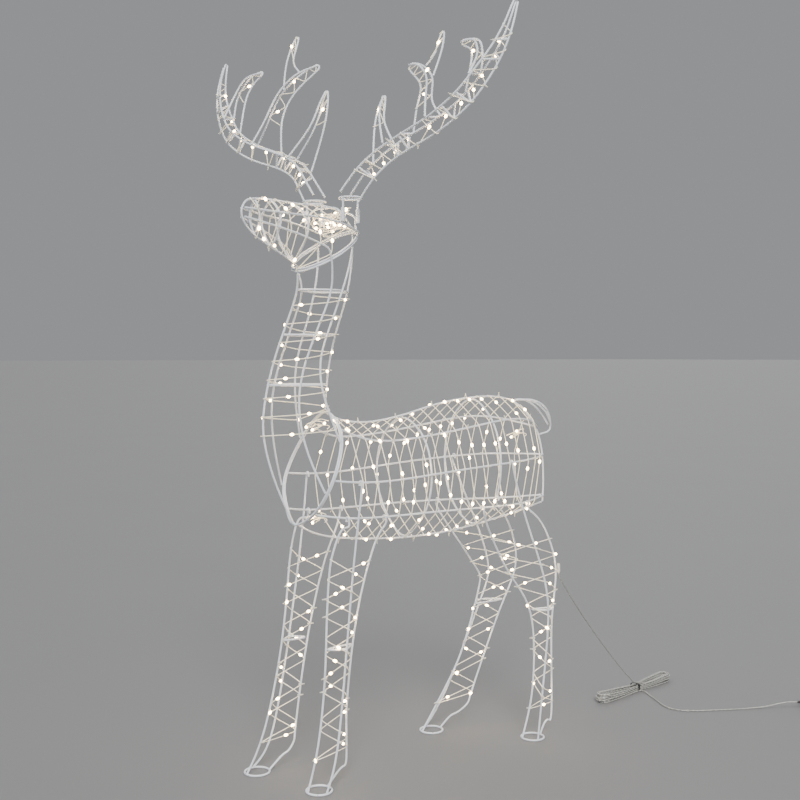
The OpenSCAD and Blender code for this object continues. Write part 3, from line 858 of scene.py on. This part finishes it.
def lead_sleeve():
    """The shrunk sleeve over the joint between the leg's string and the lead."""
    low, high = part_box("lead_sleeve")
    middle = (low + high) / 2
    tall = high.z - low.z
    deselect_all()
    bpy.ops.mesh.primitive_cylinder_add(vertices=20, radius=0.0031, depth=tall, location=middle)
    sleeve = bpy.context.active_object
    sleeve.name = "lead_joint_sleeve"
    settle()
    edit_all()
    cut_levels([low.z + share * tall for share in (0.12, 0.22, 0.34, 0.5, 0.66, 0.78, 0.88)])
    leave_edit()
    for vertex in sleeve.data.vertices:
        share = (vertex.co.z - low.z) / tall
        width = 0.72 + 0.38 * math.sin(math.pi * share) ** 0.5 - 0.06 * math.cos(12 * share)
        vertex.co.x = middle.x + (vertex.co.x - middle.x) * min(1.12, width)
        vertex.co.y = middle.y + (vertex.co.y - middle.y) * min(1.12, width)
    apply_subdivision(sleeve, 1)
    bpy.ops.object.shade_smooth_by_angle(angle=math.radians(50))
    stand_for(sleeve, "lead_sleeve", nylon("shrunk_sleeve", (0.80, 0.79, 0.74)))
    return sleeve


def twist_end(start):
    """The way of one end of the twist tie, as it winds round the other."""
    way = []
    for k in range(15):
        along = k / 14
        spread = 0.0011 + 0.0016 * max(0.0, along - 0.7)
        angle = start + 9.0 * along
        tip = (
            0.004 + 0.014 * along,
            TWIST_TIE_Y + spread * math.cos(angle) - 0.004 * along,
            TWIST_TIE_HEIGHT - 0.0012 + spread * math.sin(angle) + 0.0008 * math.sin(3 * along),
        )
        way.append(hank_to_frame(tip))
    return way


def hank_tie():
    """A flat twist tie round the pinched hank, its two ends wound together on top."""
    deselect_all()
    bpy.ops.mesh.primitive_torus_add(
        major_segments=40, minor_segments=8, major_radius=1.0, minor_radius=0.1
    )
    band = bpy.context.active_object
    corner = 0.72
    tall = 0.5 * TWIST_TIE_HEIGHT
    for vertex in band.data.vertices:
        x, y, z = vertex.co
        around = math.atan2(y, x)
        thick = math.hypot(x, y) - 1.0
        round_x = math.copysign(abs(math.cos(around)) ** corner, math.cos(around))
        round_y = math.copysign(abs(math.sin(around)) ** corner, math.sin(around))
        across = (TWIST_TIE_HALF_WIDTH + 0.008 * thick) * round_x
        up = tall + (tall - 0.0005 + 0.008 * thick) * round_y
        vertex.co = hank_to_frame((across, TWIST_TIE_Y + 0.028 * z, max(0.0002, up)))
    ends = [round_wire("twist_end", twist_end(start), 0.0009, 8) for start in (0.0, math.pi)]
    tie = joined([band, *ends], "hank_twist_tie")
    bpy.ops.object.shade_smooth_by_angle(angle=math.radians(60))
    stand_for(tie, "hank_tie", moulded_plastic("twist_tie_plastic", (0.02, 0.02, 0.02), 1400.0))
    return tie


def adaptor_to_frame(obj):
    """Moves a piece of the adaptor from where it was drawn to its place."""
    matrix = Matrix.Translation(ADAPTOR_END - MIDDLE) @ Matrix.Rotation(ADAPTOR_TURN, 4, "Z")
    obj.data.transform(matrix)
    obj.matrix_world = Matrix.Identity(4)


def adaptor():
    """The mains adaptor: a case in two shells, its strain relief and two pins."""
    black = moulded_plastic("adaptor_plastic", (0.022, 0.022, 0.024))
    case = adaptor_case()
    stand_for(case, "adaptor_case", black)
    relief = strain_relief()
    stand_for(relief, "adaptor_sleeve", black)
    pins = adaptor_pins()
    stand_for(pins, "adaptor_pins", plated_pin("pin_plate"))
    return [relief, case, pins]


def adaptor_case():
    """A rounded box with a sunk seam, and sunk fields in its top and its far end."""
    top, far = CASE_HEIGHT, CASE_START + CASE_LENGTH
    deselect_all()
    bpy.ops.mesh.primitive_cube_add(
        size=1.0, location=(0, CASE_START + CASE_LENGTH / 2, CASE_HEIGHT / 2)
    )
    case = bpy.context.active_object
    case.name = "adaptor_shells"
    case.scale = (CASE_WIDTH, CASE_LENGTH, CASE_HEIGHT)
    settle()
    edit_all()
    bpy.ops.mesh.bevel(offset=0.0045, segments=4, profile=0.6, affect="EDGES")
    cut_levels([0.485 * top, 0.515 * top])
    leave_edit()
    select_faces(
        case, lambda f: abs(f.center.z - top / 2) < 0.016 * top and abs(f.normal.z) < 0.3
    )
    bpy.ops.mesh.extrude_region_shrink_fatten(TRANSFORM_OT_shrink_fatten={"value": -0.0005})
    leave_edit()
    select_faces(case, lambda f: f.normal.z > 0.98 and f.center.z > 0.9 * top)
    bpy.ops.mesh.inset(thickness=0.0045, depth=0)
    bpy.ops.mesh.inset(thickness=0.0006, depth=-0.0005)
    leave_edit()
    select_faces(case, lambda f: f.normal.y > 0.98 and f.center.y > far - 0.05 * CASE_LENGTH)
    bpy.ops.mesh.inset(thickness=0.003, depth=0)
    bpy.ops.mesh.inset(thickness=0.0008, depth=-0.0006)
    leave_edit()
    bpy.ops.object.shade_smooth_by_angle(angle=math.radians(35))
    adaptor_to_frame(case)
    return case


def strain_relief():
    """A tapered sleeve with grooves that let it bend."""
    deselect_all()
    bpy.ops.mesh.primitive_cylinder_add(vertices=24, radius=1.0, depth=1.0)
    relief = bpy.context.active_object
    relief.name = "adaptor_strain_relief"
    edit_all()
    cut_levels([k / RELIEF_STEPS - 0.5 for k in range(1, RELIEF_STEPS)])
    leave_edit()
    for vertex in relief.data.vertices:
        share = vertex.co.z + 0.5
        step = round(share * RELIEF_STEPS)
        grooved = step % 4 in (1, 2) and 1 < step < RELIEF_STEPS - 2
        radius = 0.0044 - 0.0020 * share - (0.00045 if grooved else 0.0)
        vertex.co = (
            vertex.co.x * radius,
            CASE_START - share * RELIEF_LENGTH,
            ADAPTOR_AXIS + vertex.co.y * radius,
        )
    edit_all()
    bpy.ops.mesh.normals_make_consistent(inside=False)
    leave_edit()
    bpy.ops.object.shade_smooth_by_angle(angle=math.radians(38))
    adaptor_to_frame(relief)
    return relief


def adaptor_pins():
    """Two round pins with rounded tips."""
    deselect_all()
    pins = []
    for x in (-PIN_SIDE, PIN_SIDE):
        bpy.ops.mesh.primitive_cylinder_add(
            vertices=24, radius=PIN_RADIUS, depth=PIN_LENGTH,
            location=(x, CASE_START + CASE_LENGTH + PIN_LENGTH / 2, ADAPTOR_AXIS),
            rotation=(math.radians(-90), 0, 0),
        )
        settle()
        pins.append(bpy.context.active_object)
    pair = joined(pins, "adaptor_pin_pair")
    select_faces(pair, lambda f: f.normal.y > 0.98)
    bpy.ops.mesh.bevel(offset=0.0009, segments=3, affect="EDGES")
    leave_edit()
    bpy.ops.object.shade_smooth_by_angle(angle=math.radians(40))
    adaptor_to_frame(pair)
    return pair


# ---- The wire frame ----


class REINDEER_OT_frame_wires(bpy.types.Operator):
    """Round and coat every frame wire"""

    bl_idname = "reindeer.frame_wires"
    bl_label = "Frame wires"

    def execute(self, context):
        wanted = settings("wires")
        coat = powder_coat("white_powder_coat", wanted.coat, wanted.steel)
        for node in WIRE_NODES:
            tube = smoothed_tube(node, node + "_wire", wanted.radius, wanted.swell)
            stand_for(tube, node, coat)
        return {"FINISHED"}


class REINDEER_OT_fittings(bpy.types.Operator):
    """Finish the hoof rings, the antler rings, the pegs and their sockets"""

    bl_idname = "reindeer.fittings"
    bl_label = "Fittings"

    def execute(self, context):
        wanted = settings("wires")
        coat = powder_coat("fitting_coat", wanted.coat, wanted.steel, 0.64)
        for node in TURNED_NODES:
            dress(nodes[node], coat)
        return {"FINISHED"}


# ---- The lights ----


class REINDEER_OT_light_strings(bpy.types.Operator):
    """Round the light strings and their gathered slack"""

    bl_idname = "reindeer.light_strings"
    bl_label = "Light strings"

    def execute(self, context):
        wanted = settings("lights")
        skin = string_insulation_painted_glow("string_insulation_painted_glow", wanted.insulation)
        for node in STRING_NODES:
            tube = smoothed_tube(node, node + "_pair", wanted.radius, wanted.swell)
            stand_for(tube, node, skin)
        return {"FINISHED"}


def lamp_template(length, width):
    """A drop of resin: full in the middle, drawn out along the string."""
    deselect_all()
    bpy.ops.mesh.primitive_uv_sphere_add(
        segments=8, ring_count=7, radius=0.5, rotation=(0, math.radians(90), 0)
    )
    drop = bpy.context.active_object
    drop.name = "lamp_drop"
    settle()
    for vertex in drop.data.vertices:
        x, y, z = vertex.co
        thin = 1.0 - 0.45 * abs(2 * x) ** 2
        vertex.co = (x * length, y * width * thin, z * width * thin)
    bpy.ops.object.shade_smooth()
    return drop


class REINDEER_OT_lamps(bpy.types.Operator):
    """Put a lit resin drop at every lamp"""

    bl_idname = "reindeer.lamps"
    bl_label = "Lamps"

    def execute(self, context):
        wanted = settings("lights")
        glow = lamp_resin("lit_lamp_resin", wanted.glow, wanted.strength)
        way = Direction(STRING_NODES)
        drop = lamp_template(wanted.lamp_length, wanted.lamp_width)
        for node in LAMP_NODES:
            matrices = []
            for group in clusters(node, LAMP_SPAN):
                centre = average(group)
                along = way.near(centre)
                matrices.append(Matrix.Translation(centre) @ turned_to(along, Vector((0, 0, 1))))
            stand_for(copies_of(drop, matrices, node + "_drops"), node, glow)
        bpy.data.objects.remove(drop)
        return {"FINISHED"}


def tie_template():
    """A cable tie: an oval strap, its lock and the cut tail. Z points away from the wire."""
    deselect_all()
    bpy.ops.mesh.primitive_torus_add(
        major_segments=12, minor_segments=4, major_radius=1.0, minor_radius=0.2,
        rotation=(0, math.radians(90), 0),
    )
    strap = bpy.context.active_object
    settle()
    for vertex in strap.data.vertices:
        x, y, z = vertex.co
        out = math.hypot(y, z)
        thick = 0.0026 * (out - 1.0)
        width = 0.0026 + thick
        reach = 0.0034 + thick
        vertex.co = (0.0065 * x, width * y / out, 0.0007 + reach * z / out)
    bpy.ops.mesh.primitive_cube_add(size=1.0, location=(0, 0.0004, 0.0048))
    lock = bpy.context.active_object
    lock.scale = (0.0027, 0.0034, 0.0022)
    settle()
    edit_all()
    bpy.ops.mesh.bevel(offset=0.0005, segments=1, affect="EDGES")
    leave_edit()
    bpy.ops.mesh.primitive_cube_add(size=1.0, location=(0, 0.0002, 0.0072))
    tail = bpy.context.active_object
    tail.scale = (0.0019, 0.0009, 0.0044)
    settle()
    edit_all()
    cut_levels([0.0062, 0.0074, 0.0086])
    leave_edit()
    for vertex in tail.data.vertices:
        rise = max(0.0, vertex.co.z - 0.0052)
        vertex.co.y += 60.0 * rise * rise
    tie = joined([strap, lock, tail], "cable_tie")
    bpy.ops.object.shade_smooth_by_angle(angle=math.radians(40))
    return tie


class REINDEER_OT_ties(bpy.types.Operator):
    """Close a cable tie round the wire and the string at every tie"""

    bl_idname = "reindeer.ties"
    bl_label = "Cable ties"

    def execute(self, context):
        plastic = nylon("tie_nylon", (0.86, 0.84, 0.74))
        way = Direction(WIRE_NODES)
        tie = tie_template()
        for node in TIE_NODES:
            matrices = []
            for group in clusters(node, CABLE_TIE_SPAN):
                centre = average(group)
                furthest = max(group, key=lambda p: (p - centre).length)
                square = [p for p in group if (p - furthest).length < CABLE_TIE_END]
                up = (average(square) - centre).normalized()
                nearest = way.tree.find_nearest(centre)[0]
                if up.dot(nearest - centre) > 0:
                    up = -up
                rail = centre - CABLE_TIE_RISE * up
                along = way.near(rail)
                matrices.append(Matrix.Translation(rail) @ upright(along, up))
            stand_for(copies_of(tie, matrices, node + "_closed"), node, plastic)
        bpy.data.objects.remove(tie)
        return {"FINISHED"}


# ---- The stage ----


class REINDEER_OT_stage(bpy.types.Operator):
    """Lay a pale floor and hang soft studio lights"""

    bl_idname = "reindeer.stage"
    bl_label = "Stage"

    def execute(self, context):
        wanted = settings("stage")
        deselect_all()
        bpy.ops.mesh.primitive_plane_add(size=FLOOR_SIZE, location=(0, 0, -FLOOR_DROP))
        floor = context.active_object
        floor.name = "floor"
        dress(floor, studio_floor("floor_paint", wanted.floor))
        world = bpy.data.worlds.new("studio")
        world.use_nodes = True
        backdrop = next(n for n in world.node_tree.nodes if n.type == "BACKGROUND")
        backdrop.inputs["Color"].default_value = (0.80, 0.815, 0.84, 1.0)
        backdrop.inputs["Strength"].default_value = wanted.sky
        context.scene.world = world
        suns = [
            ("key", (3.0, -1.6, 3.0), 4.6, 24.0, (1.0, 0.97, 0.93)),
            ("fill", (-1.4, -3.2, 1.6), 0.7, 60.0, (0.90, 0.95, 1.0)),
            ("rim", (-2.4, 2.6, 2.6), 0.8, 40.0, (1.0, 1.0, 1.0)),
        ]
        for name, at, power, spread, tint in suns:
            bpy.ops.object.light_add(type="SUN", location=at)
            light = context.active_object
            light.name = name
            light.data.energy = power
            light.data.angle = math.radians(spread)
            light.data.color = tint
            light.rotation_euler = (-Vector(at)).to_track_quat("-Z", "Y").to_euler()
        return {"FINISHED"}


# ---- The panel ----

STEPS = [
    "camera", "supply_lead", "frame_wires", "fittings", "light_strings", "lamps", "ties", "stage",
]


class REINDEER_PT_panel(bpy.types.Panel):
    """The reindeer's settings and steps"""

    bl_label = "Reindeer"
    bl_idname = "REINDEER_PT_panel"
    bl_space_type = "VIEW_3D"
    bl_region_type = "UI"
    bl_category = "Reindeer"

    def draw(self, context):
        for name, group in GROUPS.items():
            box = self.layout.box()
            box.label(text=name.capitalize())
            for prop in group.__annotations__:
                box.prop(settings(name), prop)
        for step in STEPS:
            self.layout.operator("reindeer." + step)


GROUPS = {
    "camera": REINDEER_PG_camera,
    "wires": REINDEER_PG_wires,
    "lights": REINDEER_PG_lights,
    "lead": REINDEER_PG_lead,
    "stage": REINDEER_PG_stage,
}
CLASSES = [
    *GROUPS.values(),
    REINDEER_OT_camera,
    REINDEER_OT_supply_lead,
    REINDEER_OT_frame_wires,
    REINDEER_OT_fittings,
    REINDEER_OT_light_strings,
    REINDEER_OT_lamps,
    REINDEER_OT_ties,
    REINDEER_OT_stage,
    REINDEER_PT_panel,
]


def register():
    for cls in CLASSES:
        bpy.utils.register_class(cls)
    for name, group in GROUPS.items():
        setattr(bpy.types.Scene, "reindeer_" + name, PointerProperty(type=group))


def unregister():
    for name in GROUPS:
        delattr(bpy.types.Scene, "reindeer_" + name)
    for cls in reversed(CLASSES):
        bpy.utils.unregister_class(cls)


def main():
    register()
    for step in STEPS:
        getattr(bpy.ops.reindeer, step)()


if __name__ == "__main__":
    main()
